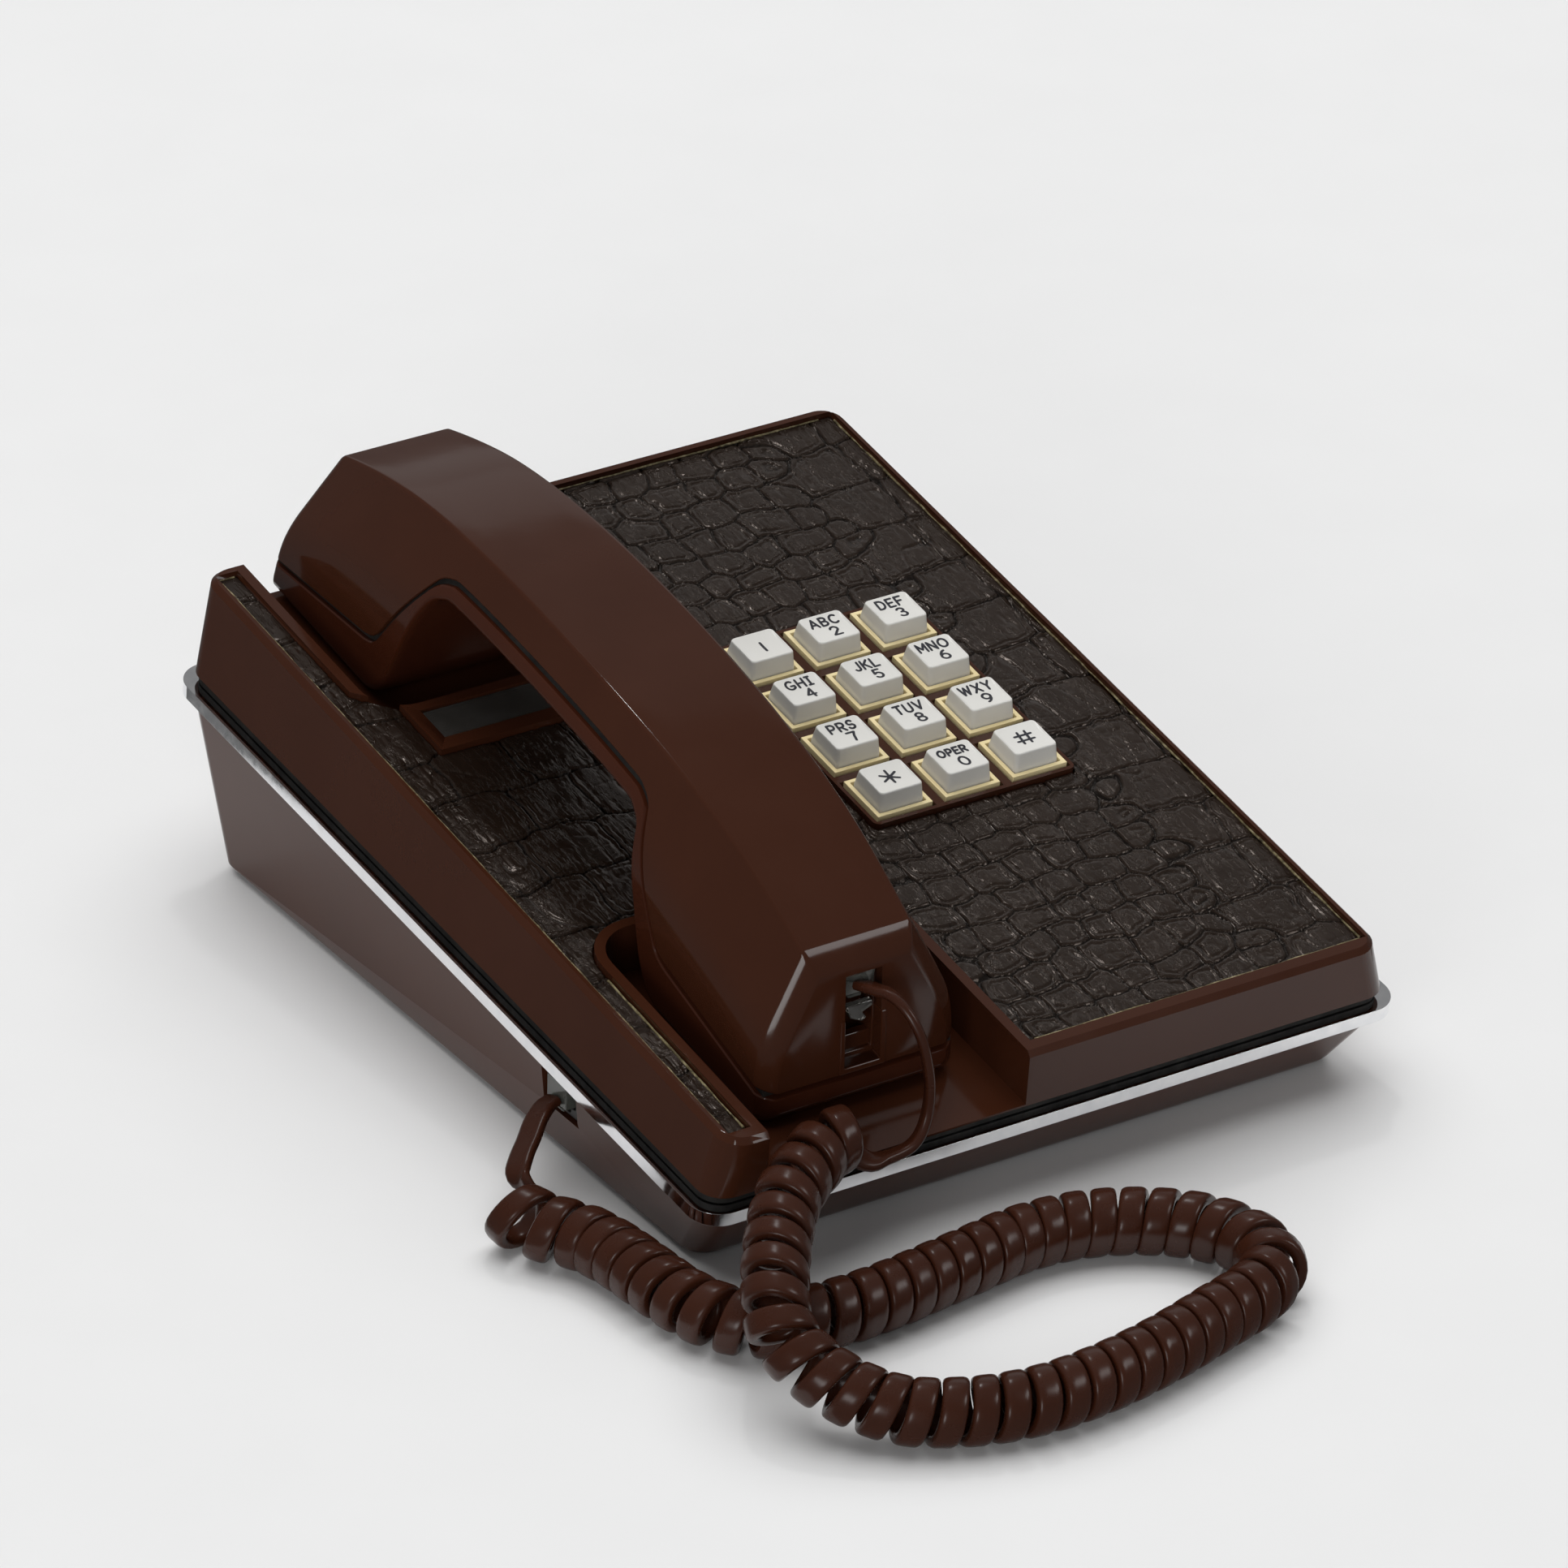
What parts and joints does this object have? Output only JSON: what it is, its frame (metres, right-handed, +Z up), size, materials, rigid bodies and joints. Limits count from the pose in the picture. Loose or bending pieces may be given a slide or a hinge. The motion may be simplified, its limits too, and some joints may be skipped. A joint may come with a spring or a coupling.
{
  "type": "slimline push-button desk telephone",
  "caption": "Wedge-shaped push-button desk telephone with an arched handset lying in two wells, a leather-look deck, a bright waist strip and a curly handset cord.",
  "frame": {"origin": "centre of the base's bounding box on the surface it stands on, cord left out", "axes": "+Z up, +Y towards the back (the high end), +X to the right of a user facing the keys"},
  "size_m": [0.2057, 0.3063, 0.1021],
  "materials": {
    "brown_plastic": "semi-gloss moulded",
    "dark_brown_plastic": "glossy moulded",
    "leather": "reptile-grain embossed, satin",
    "chrome": "polished",
    "black_rubber": "matte",
    "black_plastic": "matte",
    "clear_plastic": "clear",
    "card": "blank card",
    "cream_plastic": "satin",
    "ivory_plastic": "glossy, dark legends",
    "board": "phenolic board",
    "steel": "zinc plated",
    "brass": "satin",
    "cord_vinyl": "smooth vinyl"
  },
  "bodies": {
    "base": {"lower_housing": "brown_plastic", "upper_housing": "brown_plastic", "chrome_strip": "chrome", "seam_gasket": "black_rubber", "leather_inlay": "leather", "card_window": "clear_plastic", "number_card": "card", "keypad_plate": "brown_plastic", "key_guide": "cream_plastic", "contact_mat": "black_rubber", "keypad_board": "board", "hook_switch": "black_plastic", "foot_1": "black_rubber", "foot_2": "black_rubber", "foot_3": "black_rubber", "foot_4": "black_rubber", "casing_screw_1": "steel", "casing_screw_2": "steel", "casing_screw_3": "steel", "casing_screw_4": "steel", "line_board": "board", "speech_transformer": "steel", "line_capacitor": "cream_plastic", "base_cord_jack": "black_plastic", "line_jack": "cream_plastic", "ringer_frame": "steel", "ringer_coil": "brass", "gong_left": "brass", "gong_right": "brass", "base_plug": "clear_plastic", "base_lead": "cord_vinyl", "cord_coil": "cord_vinyl"},
    "handset": {"handset_outer_shell": "brown_plastic", "handset_inner_shell": "dark_brown_plastic", "receiver": "steel", "transmitter": "steel", "handset_cord_jack": "brown_plastic", "handset_plug": "clear_plastic", "handset_lead": "cord_vinyl"},
    "key_1": {"key_1": "ivory_plastic"},
    "key_2": {"key_2": "ivory_plastic"},
    "key_3": {"key_3": "ivory_plastic"},
    "key_4": {"key_4": "ivory_plastic"},
    "key_5": {"key_5": "ivory_plastic"},
    "key_6": {"key_6": "ivory_plastic"},
    "key_7": {"key_7": "ivory_plastic"},
    "key_8": {"key_8": "ivory_plastic"},
    "key_9": {"key_9": "ivory_plastic"},
    "key_star": {"key_star": "ivory_plastic"},
    "key_0": {"key_0": "ivory_plastic"},
    "key_hash": {"key_hash": "ivory_plastic"},
    "hook_plunger": {"hook_plunger": "black_plastic"},
    "hook_lever": {"hook_lever": "steel"},
    "ringer_clapper": {"ringer_clapper": "steel"}
  },
  "joints": [
    {"name": "handset_lift", "type": "slide", "parent": "base", "child": "handset", "axis": [0, -0.1589, 0.9873], "range_m": [0, 0.08]},
    {"name": "hook_plunger_rise", "type": "slide", "parent": "base", "child": "hook_plunger", "axis": [0, -0.1589, 0.9873], "range_m": [0, 0.004]},
    {"name": "hook_lever_swing", "type": "hinge", "parent": "base", "child": "hook_lever", "pos_m": [-0.0403, 0.09402, 0.04342], "axis": [-1, 0, 0], "range_deg": [0, 18.1]},
    {"name": "clapper_swing", "type": "hinge", "parent": "base", "child": "ringer_clapper", "pos_m": [0.036, 0.05266, 0.0122], "axis": [0, 0, 1], "range_deg": [-4, 4]},
    {"name": "key_1_press", "type": "slide", "parent": "base", "child": "key_1", "axis": [0, 0.1589, -0.9873], "range_m": [0, 0.0027], "stiffness_N_per_m": 250, "springref_m": -0.002},
    {"name": "key_2_press", "type": "slide", "parent": "base", "child": "key_2", "axis": [0, 0.1589, -0.9873], "range_m": [0, 0.0027], "stiffness_N_per_m": 250, "springref_m": -0.002},
    {"name": "key_3_press", "type": "slide", "parent": "base", "child": "key_3", "axis": [0, 0.1589, -0.9873], "range_m": [0, 0.0027], "stiffness_N_per_m": 250, "springref_m": -0.002},
    {"name": "key_4_press", "type": "slide", "parent": "base", "child": "key_4", "axis": [0, 0.1589, -0.9873], "range_m": [0, 0.0027], "stiffness_N_per_m": 250, "springref_m": -0.002},
    {"name": "key_5_press", "type": "slide", "parent": "base", "child": "key_5", "axis": [0, 0.1589, -0.9873], "range_m": [0, 0.0027], "stiffness_N_per_m": 250, "springref_m": -0.002},
    {"name": "key_6_press", "type": "slide", "parent": "base", "child": "key_6", "axis": [0, 0.1589, -0.9873], "range_m": [0, 0.0027], "stiffness_N_per_m": 250, "springref_m": -0.002},
    {"name": "key_7_press", "type": "slide", "parent": "base", "child": "key_7", "axis": [0, 0.1589, -0.9873], "range_m": [0, 0.0027], "stiffness_N_per_m": 250, "springref_m": -0.002},
    {"name": "key_8_press", "type": "slide", "parent": "base", "child": "key_8", "axis": [0, 0.1589, -0.9873], "range_m": [0, 0.0027], "stiffness_N_per_m": 250, "springref_m": -0.002},
    {"name": "key_9_press", "type": "slide", "parent": "base", "child": "key_9", "axis": [0, 0.1589, -0.9873], "range_m": [0, 0.0027], "stiffness_N_per_m": 250, "springref_m": -0.002},
    {"name": "key_star_press", "type": "slide", "parent": "base", "child": "key_star", "axis": [0, 0.1589, -0.9873], "range_m": [0, 0.0027], "stiffness_N_per_m": 250, "springref_m": -0.002},
    {"name": "key_0_press", "type": "slide", "parent": "base", "child": "key_0", "axis": [0, 0.1589, -0.9873], "range_m": [0, 0.0027], "stiffness_N_per_m": 250, "springref_m": -0.002},
    {"name": "key_hash_press", "type": "slide", "parent": "base", "child": "key_hash", "axis": [0, 0.1589, -0.9873], "range_m": [0, 0.0027], "stiffness_N_per_m": 250, "springref_m": -0.002}
  ],
  "couplings": [
    {"joint": "hook_plunger_rise", "follows": "handset_lift", "ratio": 0.05},
    {"joint": "hook_lever_swing", "follows": "handset_lift", "rad_per_m": 3.927}
  ]
}
